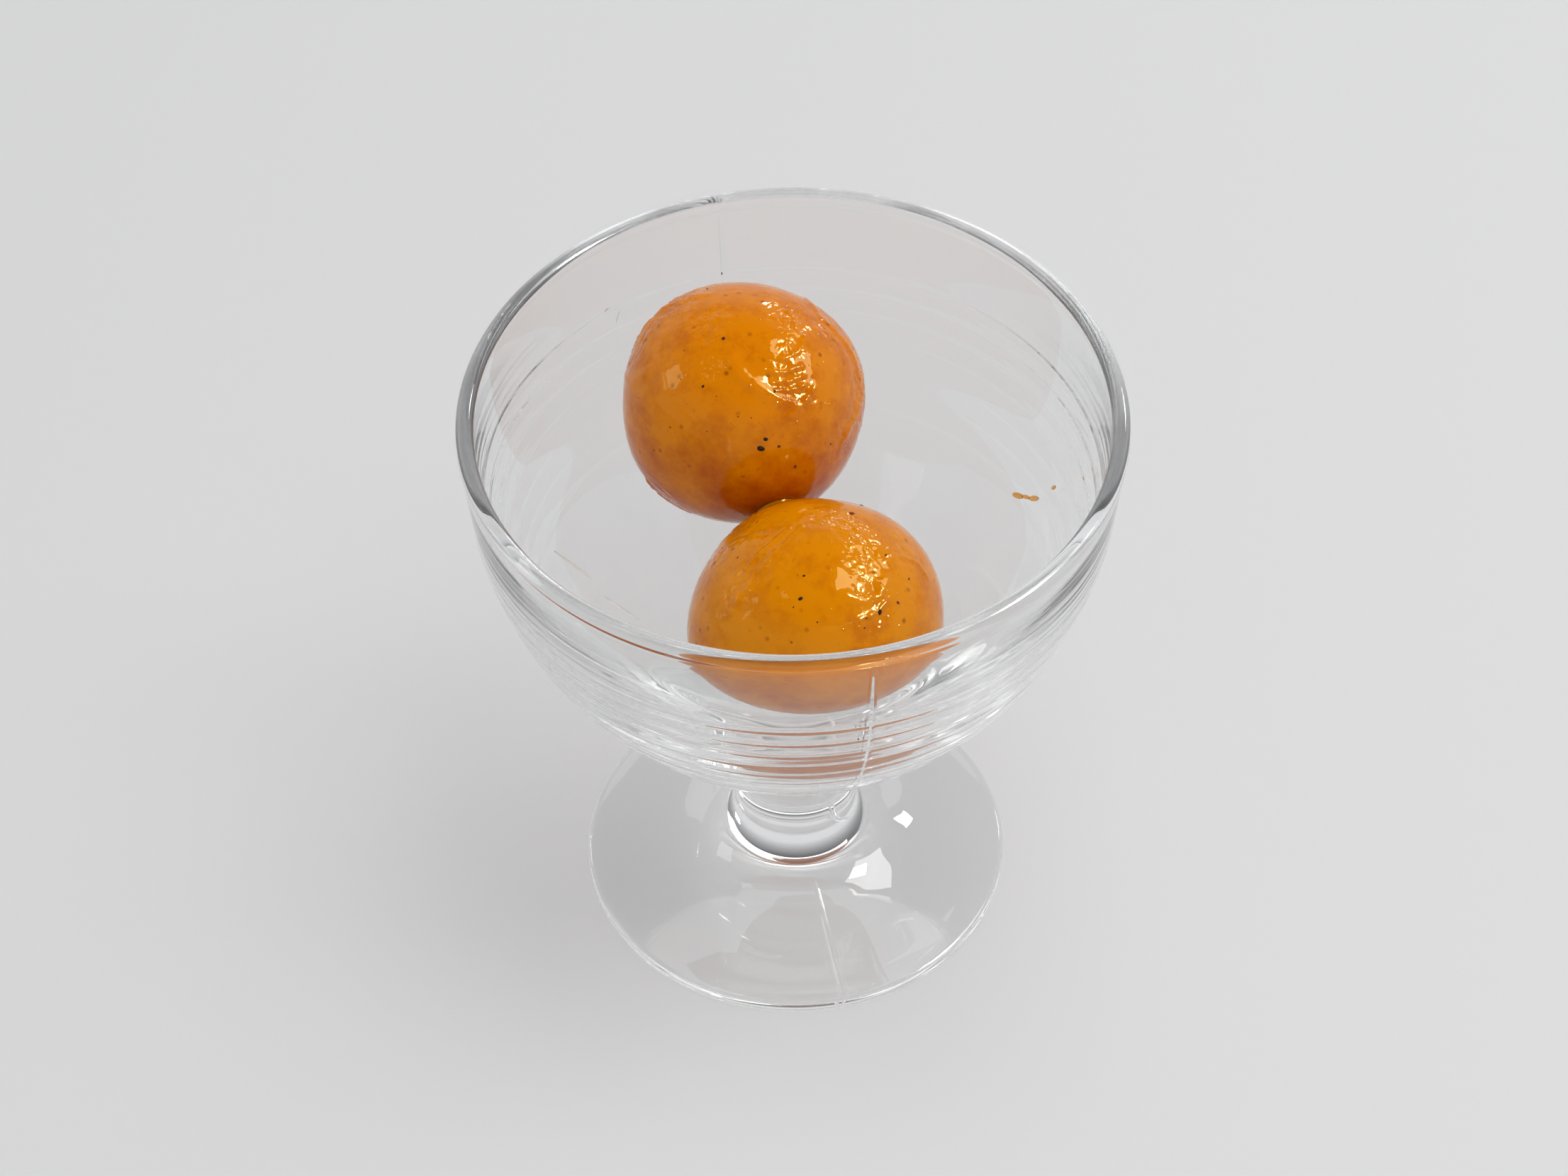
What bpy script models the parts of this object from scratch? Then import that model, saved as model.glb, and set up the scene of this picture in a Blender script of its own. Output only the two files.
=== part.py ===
"""Gulab jamun: two syrup-soaked milk dumplings in a footed pressed-glass dish.

The dish stands on its foot with its axis on Z. The origin is the centre of the
foot's underside, -Y is the front and +X is the right. Units are metres.
"""
import math

import bmesh
import bpy
from mathutils import Vector

MM = 0.001

# The dish as a whole
DISH_HEIGHT = 111.7 * MM
RIM_RADIUS = 54.2 * MM
BEAD_RADIUS = 1.5 * MM
TURN_STEPS = 48
MERGE_DISTANCE = 0.01 * MM

# Outside of the bowl: an arc whose centre lies past the axis, on a slight draft
WALL_ARC_RADIUS = 64.57 * MM
WALL_ARC_OFFSET = 11.43 * MM
WALL_ARC_HEIGHT = 97.2 * MM
WALL_DRAFT = 0.101
WALL_DRAFT_HEIGHT = 100.0 * MM

# Fine raised rings round the bowl
RING_TOP = 94.0 * MM
RING_PITCH = 4.0 * MM
RING_COUNT = 7
RING_HALF_WIDTH = 0.6 * MM
RING_RISE = 0.3 * MM

# Inside of the bowl: part of a sphere low down, then a flatter arc up to the rim
BOWL_RADIUS = 49.0 * MM
BOWL_CENTRE = Vector((0, 0, 98.3 * MM))
BOWL_TURN = math.radians(20.5)
BOWL_ARC_STEPS = 9
UPPER_ARC_RADIUS = 110.1 * MM
UPPER_ARC_TOP = 108.3 * MM
UPPER_ARC_STEPS = 4
LOWER_HOLLOW = 1.5 * MM
LOWER_HOLLOW_HEIGHTS = (55 * MM, 63 * MM, 70 * MM, 84 * MM)
BEAD_START = math.radians(230)

# Stem and foot
BOWL_JOIN_HEIGHT = 43.5 * MM
STEM_TOP_HEIGHT = 34.0 * MM
STEM_TOP_RADIUS = 11.0 * MM
STEM_WAIST_HEIGHT = 25.0 * MM
STEM_WAIST_RADIUS = 10.65 * MM
STEM_BASE_HEIGHT = 17.5 * MM
STEM_BASE_RADIUS = 10.8 * MM
FOOT_CROWN_RADIUS = 18.5 * MM
FOOT_CROWN_HEIGHT = 6.8 * MM
FOOT_RADIUS = 37.4 * MM
FOOT_EDGE_HEIGHT = 2.8 * MM
FOOT_EDGE_ROUND = 1.1 * MM
FOOT_PAD_INNER = 32.5 * MM
FOOT_HOLLOW_RADIUS = 9.0 * MM
FOOT_HOLLOW_DEPTH = 1.6 * MM

# Jamun: centre, radius and the swells (azimuth, elevation, half width, rise)
# that make each ball uneven; angles are in degrees, azimuth from +X towards +Y
FRONT_CENTRE = Vector((3.15, -11.45, 73.2)) * MM
FRONT_RADIUS = 21.2 * MM
FRONT_SWELLS = (
    (22, 20, 34, 0.9 * MM),
    (155, 22, 34, -0.8 * MM),
    (85, 35, 24, -0.4 * MM),
    (250, 30, 40, 0.3 * MM),
    (320, -30, 36, 0.3 * MM),
)
BACK_CENTRE = Vector((-8.26, 25.5, 88.3)) * MM
BACK_RADIUS = 20.3 * MM
BACK_SWELLS = (
    (141, 30, 32, 0.8 * MM),
    (214, -27, 32, 0.8 * MM),
    (18, 16, 28, 0.7 * MM),
    (300, -42, 30, 0.5 * MM),
    (70, 60, 34, -0.2 * MM),
)
BALL_SUBDIVISIONS = 4
BALL_GAP = 0.3 * MM
WALL_GAP = 0.6 * MM
PRESS_ROUND = 0.5 * MM
FAR = 1.0


def clear_scene():
    """Remove whatever the scene already holds."""
    for old in list(bpy.data.objects):
        bpy.data.objects.remove(old, do_unlink=True)


def make_collection(name):
    """Make the collection that holds the finished parts."""
    collection = bpy.data.collections.new(name)
    bpy.context.scene.collection.children.link(collection)
    return collection


def make_material(name, colour, roughness, transmission):
    """Make a plain Principled material."""
    material = bpy.data.materials.new(name)
    material.use_nodes = True
    shader = material.node_tree.nodes["Principled BSDF"]
    shader.inputs["Base Color"].default_value = (*colour, 1)
    shader.inputs["Roughness"].default_value = roughness
    shader.inputs["Metallic"].default_value = 0
    shader.inputs["Transmission Weight"].default_value = transmission
    return material


def arc(centre, radius, start, end, steps):
    """Points on an arc, both ends included, with angles in radians."""
    points = []
    for step in range(steps + 1):
        angle = start + (end - start) * step / steps
        points.append((centre[0] + radius * math.cos(angle), centre[1] + radius * math.sin(angle)))
    return points


def bend(start, corner, end, steps):
    """Points on the curve that rounds a corner, both ends included."""
    points = []
    for step in range(steps + 1):
        t = step / steps
        weights = ((1 - t) ** 2, 2 * t * (1 - t), t ** 2)
        points.append(tuple(
            sum(w * p[axis] for w, p in zip(weights, (start, corner, end))) for axis in (0, 1)
        ))
    return points


def wall_radius(height):
    """Radius of the bowl's outside at a height, without the rings."""
    drop = max(WALL_ARC_HEIGHT - height, 0)
    reach = math.sqrt(WALL_ARC_RADIUS ** 2 - drop ** 2)
    return reach - WALL_ARC_OFFSET + WALL_DRAFT * (height - WALL_DRAFT_HEIGHT)


def ease(value):
    """From 0 to 1, slow at both ends."""
    value = min(max(value, 0.0), 1.0)
    return value * value * (3 - 2 * value)


def hollow_out(point):
    """Widen the inside where the lower wall is thinner."""
    radius, height = point
    start, full, still, end = LOWER_HOLLOW_HEIGHTS
    rise = ease((height - start) / (full - start))
    fall = ease((end - height) / (end - still))
    return (radius + LOWER_HOLLOW * rise * fall, height)


def bowl_inside():
    """From the middle of the bowl's floor up to where the rim bead starts."""
    low = arc((0, BOWL_CENTRE.z), BOWL_RADIUS, -math.pi / 2, -BOWL_TURN, BOWL_ARC_STEPS)
    centre = (
        low[-1][0] - UPPER_ARC_RADIUS * math.cos(BOWL_TURN),
        low[-1][1] + UPPER_ARC_RADIUS * math.sin(BOWL_TURN),
    )
    end = -math.asin((centre[1] - UPPER_ARC_TOP) / UPPER_ARC_RADIUS)
    upper = arc(centre, UPPER_ARC_RADIUS, -BOWL_TURN, end, UPPER_ARC_STEPS)[1:]
    return [hollow_out(point) for point in low + upper]


def rim_bead():
    """The rounded rim, which stands proud of the wall's inner side."""
    centre = (RIM_RADIUS - BEAD_RADIUS, DISH_HEIGHT - BEAD_RADIUS)
    return arc(centre, BEAD_RADIUS, BEAD_START, 0, 7)


def bowl_outside():
    """Down the outer wall, over the raised rings, to above the stem."""
    points = [(wall_radius(height), height) for height in (105 * MM, 100 * MM, 96.6 * MM)]
    for number in range(RING_COUNT):
        height = RING_TOP - number * RING_PITCH
        for lift, rise in ((RING_HALF_WIDTH, 0), (0, RING_RISE), (-RING_HALF_WIDTH, 0)):
            points.append((wall_radius(height + lift) + rise, height + lift))
    lowest = points[-1][1]
    for step in range(1, 6):
        height = lowest + (BOWL_JOIN_HEIGHT - lowest) * step / 6
        points.append((wall_radius(height), height))
    return points


def stem():
    """The underside of the bowl bends into the stem, which bends out to the foot."""
    join = (wall_radius(BOWL_JOIN_HEIGHT), BOWL_JOIN_HEIGHT)
    top = (STEM_TOP_RADIUS, STEM_TOP_HEIGHT)
    slope = (wall_radius(BOWL_JOIN_HEIGHT + MM) - wall_radius(BOWL_JOIN_HEIGHT)) / MM
    corner = (STEM_TOP_RADIUS, BOWL_JOIN_HEIGHT - (join[0] - STEM_TOP_RADIUS) / slope)
    base = (STEM_BASE_RADIUS, STEM_BASE_HEIGHT)
    crown = (FOOT_CROWN_RADIUS, FOOT_CROWN_HEIGHT)
    foot_corner = (STEM_BASE_RADIUS + 0.5 * MM, FOOT_CROWN_HEIGHT + 2.8 * MM)
    return (
        bend(join, corner, top, 5)
        + [(STEM_WAIST_RADIUS, STEM_WAIST_HEIGHT)]
        + bend(base, foot_corner, crown, 4)
    )


def foot():
    """Over the foot's shallow cone, round its edge and under it to the axis."""
    crown = (FOOT_CROWN_RADIUS, FOOT_CROWN_HEIGHT)
    edge_centre = FOOT_RADIUS - FOOT_EDGE_ROUND
    edge_top = (edge_centre, FOOT_EDGE_HEIGHT)
    middle = (24 * MM, 4.1 * MM)
    top = bend(crown, middle, edge_top, 4)[1:-1]
    upper = arc((edge_centre, FOOT_EDGE_HEIGHT - FOOT_EDGE_ROUND), FOOT_EDGE_ROUND, math.pi / 2, 0, 3)
    lower = arc((edge_centre, FOOT_EDGE_ROUND), FOOT_EDGE_ROUND, 0, -math.pi / 2, 3)
    hollow = [(FOOT_PAD_INNER, 0), (FOOT_HOLLOW_RADIUS, FOOT_HOLLOW_DEPTH), (0, FOOT_HOLLOW_DEPTH)]
    return top + upper + lower + hollow


def make_dish(collection, material):
    """Turn the whole glass profile round Z."""
    profile = bowl_inside() + rim_bead() + bowl_outside() + stem() + foot()
    mesh = bpy.data.meshes.new("dish")
    edges = [(index, index + 1) for index in range(len(profile) - 1)]
    mesh.from_pydata([(radius, 0, height) for radius, height in profile], edges, [])
    mesh.materials.append(material)
    dish = bpy.data.objects.new("dish", mesh)
    collection.objects.link(dish)
    turn = dish.modifiers.new("Turn", "SCREW")
    turn.axis = "Z"
    turn.steps = TURN_STEPS
    turn.render_steps = TURN_STEPS
    turn.use_merge_vertices = True
    turn.merge_threshold = MERGE_DISTANCE
    turn.use_smooth_shade = True
    return dish


def toward(azimuth, elevation):
    """Unit direction from two angles in degrees."""
    turn = math.radians(azimuth)
    tilt = math.radians(elevation)
    flat = math.cos(tilt)
    return Vector((flat * math.cos(turn), flat * math.sin(turn), math.sin(tilt)))


def uneven_reach(direction, radius, swells):
    """Radius of a lumpy ball in one direction."""
    reach = radius
    for azimuth, elevation, half_width, rise in swells:
        apart = direction.angle(toward(azimuth, elevation))
        reach += rise * math.exp(-(apart / math.radians(half_width)) ** 2)
    return reach


def neighbour_reach(direction, centre, radius, other_centre, other_radius):
    """Distance to the plane between two balls that press together."""
    between = other_centre - centre
    share = between.length * radius / (radius + other_radius) - BALL_GAP / 2
    facing = direction.dot(between.normalized())
    if facing < share / FAR:
        return FAR
    return share / facing


def bowl_reach(direction, centre):
    """Distance to the round inside of the bowl, less the gap left to it."""
    offset = centre - BOWL_CENTRE
    along = direction.dot(offset)
    clear = BOWL_RADIUS - WALL_GAP
    return math.sqrt(along ** 2 - offset.length_squared + clear ** 2) - along


def soft_minimum(first, second):
    """The smaller length, with the change between them rounded off."""
    blend = max(PRESS_ROUND - abs(first - second), 0) / PRESS_ROUND
    return min(first, second) - blend ** 2 * PRESS_ROUND / 4


def make_jamun(name, collection, material, ball, other):
    """One ball, uneven all over and pressed a little where it rests."""
    centre, radius, swells = ball
    other_centre, other_radius = other
    mesh = bpy.data.meshes.new(name)
    shape = bmesh.new()
    bmesh.ops.create_icosphere(shape, subdivisions=BALL_SUBDIVISIONS, radius=1)
    for vert in shape.verts:
        direction = vert.co.normalized()
        reach = uneven_reach(direction, radius, swells)
        reach = soft_minimum(reach, neighbour_reach(direction, centre, radius, other_centre, other_radius))
        reach = soft_minimum(reach, bowl_reach(direction, centre))
        vert.co = direction * reach
    shape.to_mesh(mesh)
    shape.free()
    mesh.shade_smooth()
    mesh.materials.append(material)
    jamun = bpy.data.objects.new(name, mesh)
    jamun.location = centre
    collection.objects.link(jamun)
    return jamun


def build():
    """Make the dish and the two jamun in it."""
    clear_scene()
    collection = make_collection("gulab_jamun")
    glass = make_material("clear_glass", (0.93, 0.95, 0.94), 0.02, 1)
    amber = make_material("syrup_soaked_dough", (0.58, 0.19, 0.006), 0.18, 0)
    amber_back = make_material("syrup_soaked_dough_back", (0.55, 0.17, 0.006), 0.18, 0)
    front = (FRONT_CENTRE, FRONT_RADIUS, FRONT_SWELLS)
    back = (BACK_CENTRE, BACK_RADIUS, BACK_SWELLS)
    make_dish(collection, glass)
    make_jamun("jamun_front", collection, amber, front, back[:2])
    make_jamun("jamun_back", collection, amber_back, back, front[:2])


build()
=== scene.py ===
# %% [markdown]
# # Gulab jamun in a footed glass dish
#
# Gulab jamun are milk dumplings, fried until amber and soaked in sugar syrup.
# Two of them lie in a dessert dish of clear pressed glass. The dish carries the
# light and the dumplings carry the colour, so the lesson goes from the room to the
# glass, and from the glass to the dough and its syrup. Lengths are in metres, the
# dish stands on its foot at the origin, and the front is towards -Y.

# %% Load the measured frame
import math
import random

import bmesh
import bpy
import numpy as np
from mathutils import Matrix, Vector


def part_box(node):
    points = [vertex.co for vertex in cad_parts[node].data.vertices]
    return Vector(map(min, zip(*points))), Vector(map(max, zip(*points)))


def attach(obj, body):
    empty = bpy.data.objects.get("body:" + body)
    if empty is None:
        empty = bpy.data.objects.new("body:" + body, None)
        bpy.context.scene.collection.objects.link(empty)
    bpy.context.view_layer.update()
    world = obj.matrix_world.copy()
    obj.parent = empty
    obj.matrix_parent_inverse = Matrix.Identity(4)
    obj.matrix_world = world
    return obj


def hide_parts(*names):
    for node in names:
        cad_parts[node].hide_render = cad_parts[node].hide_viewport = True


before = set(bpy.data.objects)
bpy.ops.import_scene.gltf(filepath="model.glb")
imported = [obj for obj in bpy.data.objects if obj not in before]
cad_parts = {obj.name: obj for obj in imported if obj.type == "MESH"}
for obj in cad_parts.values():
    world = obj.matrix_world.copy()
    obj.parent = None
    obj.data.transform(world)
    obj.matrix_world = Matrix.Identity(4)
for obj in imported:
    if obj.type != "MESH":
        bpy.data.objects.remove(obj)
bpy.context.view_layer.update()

MM = 0.001
dish_low, dish_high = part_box("dish")
print("dish from", tuple(round(v, 4) for v in dish_low), "to", tuple(round(v, 4) for v in dish_high))

# %% [markdown]
# ## Working habits
#
# Blender's operators act on whatever is selected, and the frame arrives selected.
# A few small helpers deselect everything, enter edit mode on one piece, and pick
# vertices by their place, so that each later step touches only what it means to.

# %% Helpers for editing one piece at a time
def rest_hands():
    """Leave edit mode and select nothing."""
    if bpy.context.object and bpy.context.object.mode != "OBJECT":
        bpy.ops.object.mode_set(mode="OBJECT")
    bpy.ops.object.select_all(action="DESELECT")


def open_piece(piece):
    """Make one piece active and enter its edit mode with nothing picked."""
    rest_hands()
    piece.select_set(True)
    bpy.context.view_layer.objects.active = piece
    bpy.ops.object.mode_set(mode="EDIT")
    bpy.ops.mesh.select_mode(type="VERT")
    bpy.ops.mesh.select_all(action="DESELECT")


def pick(piece, wanted):
    """Pick the vertices whose place passes a test, and say how many there are."""
    shape = bmesh.from_edit_mesh(piece.data)
    count = 0
    for vert in shape.verts:
        chosen = wanted(vert.co)
        vert.select_set(chosen)
        count += chosen
    shape.select_flush(True)
    bmesh.update_edit_mesh(piece.data)
    return count


def new_piece(name):
    """Name the object that an operator has just added."""
    piece = bpy.context.object
    piece.name = name
    piece.data.name = name
    return piece


def apply_modifiers(piece):
    """Apply every modifier of a piece, in order."""
    rest_hands()
    piece.select_set(True)
    bpy.context.view_layer.objects.active = piece
    for modifier in list(piece.modifiers):
        bpy.ops.object.modifier_apply(modifier=modifier.name)


def settle(piece):
    """Put a piece's place into its mesh, with the object at the origin."""
    rest_hands()
    piece.select_set(True)
    bpy.context.view_layer.objects.active = piece
    bpy.ops.object.transform_apply(location=True, rotation=True, scale=True)


def toward(azimuth, elevation):
    """Unit direction from two angles in degrees."""
    turn = math.radians(azimuth)
    tilt = math.radians(elevation)
    flat = math.cos(tilt)
    return Vector((flat * math.cos(turn), flat * math.sin(turn), math.sin(tilt)))


# %% [markdown]
# ## Camera
#
# The dish is looked down into from about 48 degrees above the table, from close
# enough that its rim looks clearly wider than its foot. A long lens from further
# away would flatten that, so the camera's distance is set first and the lens after.

# %% Place the camera
camera = bpy.data.objects.new("camera", bpy.data.cameras.new("camera"))
bpy.context.scene.collection.objects.link(camera)
camera.data.sensor_fit = "HORIZONTAL"
camera.data.sensor_width = 36
camera.data.lens = 92.25
camera.data.clip_start = 0.05
camera.data.clip_end = 20
tilt = Matrix.Rotation(math.radians(42.29), 4, "X")
roll = Matrix.Rotation(math.radians(-0.52), 4, "Z")
camera.matrix_world = Matrix.Translation((-0.00167, -0.45452, 0.56922)) @ tilt @ roll
bpy.context.scene.camera = camera
print("camera is", round((camera.location - Vector((0, 0, 0.07))).length, 3), "m from the dish")

# %% [markdown]
# ## Room and lights
#
# Clear glass has almost no colour of its own: it shows the room. One large bright
# window on the right gives the white glints on the syrup and on the far rim, a
# softer one on the left gives the pale ovals, and a room that is bright above and
# dimmer towards the walls gives the glass its thin grey outlines. Area lights make
# window-shaped reflections, which round lamps would not.

# %% Colour handling and the room's own light
scene = bpy.context.scene
scene.view_settings.view_transform = "Standard"
scene.cycles.max_bounces = 32
scene.cycles.glossy_bounces = 20
scene.cycles.transmission_bounces = 20
scene.cycles.caustics_refractive = False
scene.cycles.caustics_reflective = False

room = bpy.data.worlds.new("room")
scene.world = room
room.use_nodes = True
room_nodes = room.node_tree.nodes
room_links = room.node_tree.links
direction_in = room_nodes.new("ShaderNodeTexCoord")
height_of = room_nodes.new("ShaderNodeSeparateXYZ")
shade = room_nodes.new("ShaderNodeValToRGB")
room_links.new(direction_in.outputs["Generated"], height_of.inputs["Vector"])
room_links.new(height_of.outputs["Z"], shade.inputs["Fac"])
room_links.new(shade.outputs["Color"], room_nodes["Background"].inputs["Color"])
shade.color_ramp.elements[0].position = 0.0
shade.color_ramp.elements[0].color = (0.80, 0.80, 0.81, 1)
shade.color_ramp.elements[1].position = 0.8
shade.color_ramp.elements[1].color = (0.12, 0.12, 0.125, 1)
middle = shade.color_ramp.elements.new(0.35)
middle.color = (0.75, 0.75, 0.76, 1)
room_nodes["Background"].inputs["Strength"].default_value = 1.0


# %% Windows as area lights
def add_window(name, direction, distance, width, height, radiance, lights_table=False, reflects=True, shines_through=False):
    """A rectangular light that faces the dish; radiance is what a reflection shows."""
    data = bpy.data.lights.new(name, "AREA")
    data.shape = "RECTANGLE"
    data.size = width
    data.size_y = height
    data.energy = radiance * math.pi * width * height
    light = bpy.data.objects.new(name, data)
    scene.collection.objects.link(light)
    aim = Vector(direction).normalized()
    place = Vector((0, 0, 0.08)) + aim * distance
    light.matrix_world = Matrix.Translation(place) @ aim.to_track_quat("Z", "Y").to_matrix().to_4x4()
    light.visible_diffuse = lights_table
    light.visible_glossy = reflects
    light.visible_transmission = shines_through
    return light


add_window("window_right", (0.68, -0.06, 0.73), 1.2, 0.28, 0.26, 65)
add_window("window_right_wide", (0.66, 0.06, 0.70), 1.3, 0.65, 0.6, 6.5)
add_window("window_right_far", (0.57, 0.67, 0.46), 1.3, 0.14, 0.16, 20, shines_through=True)
add_window("window_back", (0.22, 0.91, 0.34), 1.3, 0.14, 0.10, 20)
add_window("skylight", (-0.47, -0.14, 0.87), 1.4, 0.2, 0.16, 1.8)
add_window("window_left", (-0.90, 0.08, 0.43), 1.4, 0.4, 0.5, 2.2, shines_through=True)
add_window("soft_window", (0.6, 0.1, 0.8), 2.0, 1.2, 1.2, 2.2, lights_table=True, reflects=False)
add_window("soft_ceiling", (0.1, 0.0, 0.99), 2.2, 3.0, 3.0, 1.65, lights_table=True, reflects=False, shines_through=True)

# %% [markdown]
# ## Table
#
# The dish stands on a plain pale table. It is a stage and not part of the object.
# One large face is enough, well past the edge of the view on every side.

# %% Lay the table
rest_hands()
bpy.ops.mesh.primitive_plane_add(size=8, location=(0, 0, -0.15 * MM))
table = new_piece("table")
table_finish = bpy.data.materials.new("pale_table")
table_finish.use_nodes = True
table_shader = table_finish.node_tree.nodes["Principled BSDF"]
table_shader.inputs["Base Color"].default_value = (0.62, 0.622, 0.624, 1)
table_shader.inputs["Roughness"].default_value = 0.75
table.data.materials.append(table_finish)

# %% [markdown]
# ## Clear glass
#
# Pressed glass is clear, faintly grey where it is thick, and never quite flat: the
# mould leaves slow ripples that make reflections waver. The glass is one shader
# with a plain full transmission, and the ripple is a bump. Lamps are let through
# it by a Transparent shader, so the table below is lit as it is through real glass.

# %% Node helpers
def new_finish(name):
    """A material with its Principled shader, nodes and links."""
    finish = bpy.data.materials.new(name)
    finish.use_nodes = True
    nodes = finish.node_tree.nodes
    return finish, nodes, finish.node_tree.links, nodes["Principled BSDF"]


def set_inputs(node, **values):
    """Set a node's sockets by name, with _ for a space."""
    for name, value in values.items():
        node.inputs[name.replace("_", " ")].default_value = value


# %% Shared relief: slow ripple and fine grain
def make_relief_group():
    """Node group that mixes a slow noise and a fine noise into one height."""
    group = bpy.data.node_groups.new("slow_and_fine_relief", "ShaderNodeTree")
    face = group.interface
    face.new_socket("Vector", in_out="INPUT", socket_type="NodeSocketVector")
    face.new_socket("Slow Scale", in_out="INPUT", socket_type="NodeSocketFloat")
    face.new_socket("Fine Scale", in_out="INPUT", socket_type="NodeSocketFloat")
    face.new_socket("Fine Share", in_out="INPUT", socket_type="NodeSocketFloat")
    face.new_socket("Height", in_out="OUTPUT", socket_type="NodeSocketFloat")
    nodes, links = group.nodes, group.links
    given = nodes.new("NodeGroupInput")
    result = nodes.new("NodeGroupOutput")
    slow = nodes.new("ShaderNodeTexNoise")
    fine = nodes.new("ShaderNodeTexNoise")
    slow.inputs["Detail"].default_value = 1
    fine.inputs["Detail"].default_value = 3
    blend = nodes.new("ShaderNodeMix")
    blend.data_type = "FLOAT"
    links.new(given.outputs["Vector"], slow.inputs["Vector"])
    links.new(given.outputs["Vector"], fine.inputs["Vector"])
    links.new(given.outputs["Slow Scale"], slow.inputs["Scale"])
    links.new(given.outputs["Fine Scale"], fine.inputs["Scale"])
    links.new(given.outputs["Fine Share"], blend.inputs[0])
    links.new(slow.outputs["Fac"], blend.inputs[2])
    links.new(fine.outputs["Fac"], blend.inputs[3])
    links.new(blend.outputs[0], result.inputs["Height"])
    return group


relief_group = make_relief_group()


def add_relief(nodes, links, stretch, slow, fine, share, distance, strength=1.0):
    """Place the relief group on Object coordinates and return its Bump node."""
    where = nodes.new("ShaderNodeTexCoord")
    mapping = nodes.new("ShaderNodeMapping")
    mapping.inputs["Scale"].default_value = stretch
    relief = nodes.new("ShaderNodeGroup")
    relief.node_tree = relief_group
    set_inputs(relief, Slow_Scale=slow, Fine_Scale=fine, Fine_Share=share)
    bump = nodes.new("ShaderNodeBump")
    set_inputs(bump, Strength=strength, Distance=distance)
    links.new(where.outputs["Object"], mapping.inputs["Vector"])
    links.new(mapping.outputs["Vector"], relief.inputs["Vector"])
    links.new(relief.outputs["Height"], bump.inputs["Height"])
    return bump


# %% Glass that lets lamps through
def make_clear_finish(name, colour, ior, shadow, bump_values):
    """Smooth clear stuff, with its ripple, that does not block the lamps."""
    finish, nodes, links, shader = new_finish(name)
    set_inputs(shader, Base_Color=(*colour, 1), Roughness=0.0, IOR=ior, Transmission_Weight=1.0)
    bump = add_relief(nodes, links, *bump_values)
    links.new(bump.outputs["Normal"], shader.inputs["Normal"])
    path = nodes.new("ShaderNodeLightPath")
    lighting = nodes.new("ShaderNodeMath")
    lighting.operation = "MAXIMUM"
    links.new(path.outputs["Is Shadow Ray"], lighting.inputs[0])
    links.new(path.outputs["Is Diffuse Ray"], lighting.inputs[1])
    through = nodes.new("ShaderNodeBsdfTransparent")
    through.inputs["Color"].default_value = (shadow, shadow, shadow, 1)
    choose = nodes.new("ShaderNodeMixShader")
    links.new(lighting.outputs["Value"], choose.inputs[0])
    links.new(shader.outputs["BSDF"], choose.inputs[1])
    links.new(through.outputs["BSDF"], choose.inputs[2])
    links.new(choose.outputs["Shader"], nodes["Material Output"].inputs["Surface"])
    return finish


glass_ripple = ((1, 1, 0.6), 40, 160, 0.02, 0.0002)
clear_glass = make_clear_finish("clear_glass", (0.925, 0.932, 0.93), 1.5, 0.98, glass_ripple)

# %% [markdown]
# ## The footed dish
#
# The dish is pressed in a mould and is round about its axis, so its whole section
# is drawn once, as half an outline, and spun. The section is one vertex extruded
# from point to point: the round inside, the rim bead, the outer wall with its seven
# raised rings, the solid stem and the thin foot. Spinning keeps the wall's thickness
# true everywhere, which two nested shells would not.

# %% Dish sizes
DISH_HEIGHT = dish_high.z
RIM_RADIUS = 54.2 * MM
BEAD_RADIUS = 1.5 * MM
WALL_ARC_RADIUS = 64.57 * MM
WALL_ARC_OFFSET = 11.43 * MM
WALL_ARC_HEIGHT = 97.2 * MM
WALL_DRAFT = 0.101
WALL_DRAFT_HEIGHT = 100.0 * MM
RING_TOP = 94.0 * MM
RING_PITCH = 4.0 * MM
RING_RISES = (0.13, 0.12, 0.10, 0.09, 0.09, 0.09, 0.09)
RING_HALF_WIDTH = 1.0 * MM
BOWL_RADIUS = 49.0 * MM
BOWL_CENTRE = Vector((0, 0, 98.3 * MM))
BOWL_TURN = math.radians(20.5)
UPPER_ARC_RADIUS = 110.1 * MM
UPPER_ARC_TOP = 107.9 * MM
LOWER_HOLLOW = 1.5 * MM
LOWER_HOLLOW_HEIGHTS = (55 * MM, 63 * MM, 70 * MM, 84 * MM)
BEAD_START = math.radians(230)
BOWL_JOIN_HEIGHT = 43.5 * MM
STEM_TOP = (11.0 * MM, 34.0 * MM)
STEM_WAIST = (10.65 * MM, 25.0 * MM)
STEM_BASE = (10.8 * MM, 17.5 * MM)
FOOT_BEND = (11.3 * MM, 9.6 * MM)
FOOT_CROWN = (18.5 * MM, 6.8 * MM)
FOOT_MIDDLE = (24.0 * MM, 4.1 * MM)
FOOT_RADIUS = 37.4 * MM
FOOT_EDGE_HEIGHT = 2.8 * MM
FOOT_EDGE_ROUND = 1.1 * MM
FOOT_PAD_INNER = 32.5 * MM
FOOT_HOLLOW_RADIUS = 9.0 * MM
FOOT_HOLLOW_DEPTH = 1.6 * MM


# %% Curves of the section
def arc(centre, radius, start, end, steps):
    """Points on an arc, both ends included."""
    angles = [start + (end - start) * step / steps for step in range(steps + 1)]
    return [(centre[0] + radius * math.cos(a), centre[1] + radius * math.sin(a)) for a in angles]


def bend(start, corner, end, steps):
    """Points on the curve that rounds a corner, both ends included."""
    points = []
    for step in range(steps + 1):
        t = step / steps
        weights = ((1 - t) ** 2, 2 * t * (1 - t), t ** 2)
        points.append(tuple(sum(w * p[i] for w, p in zip(weights, (start, corner, end))) for i in (0, 1)))
    return points


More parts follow.
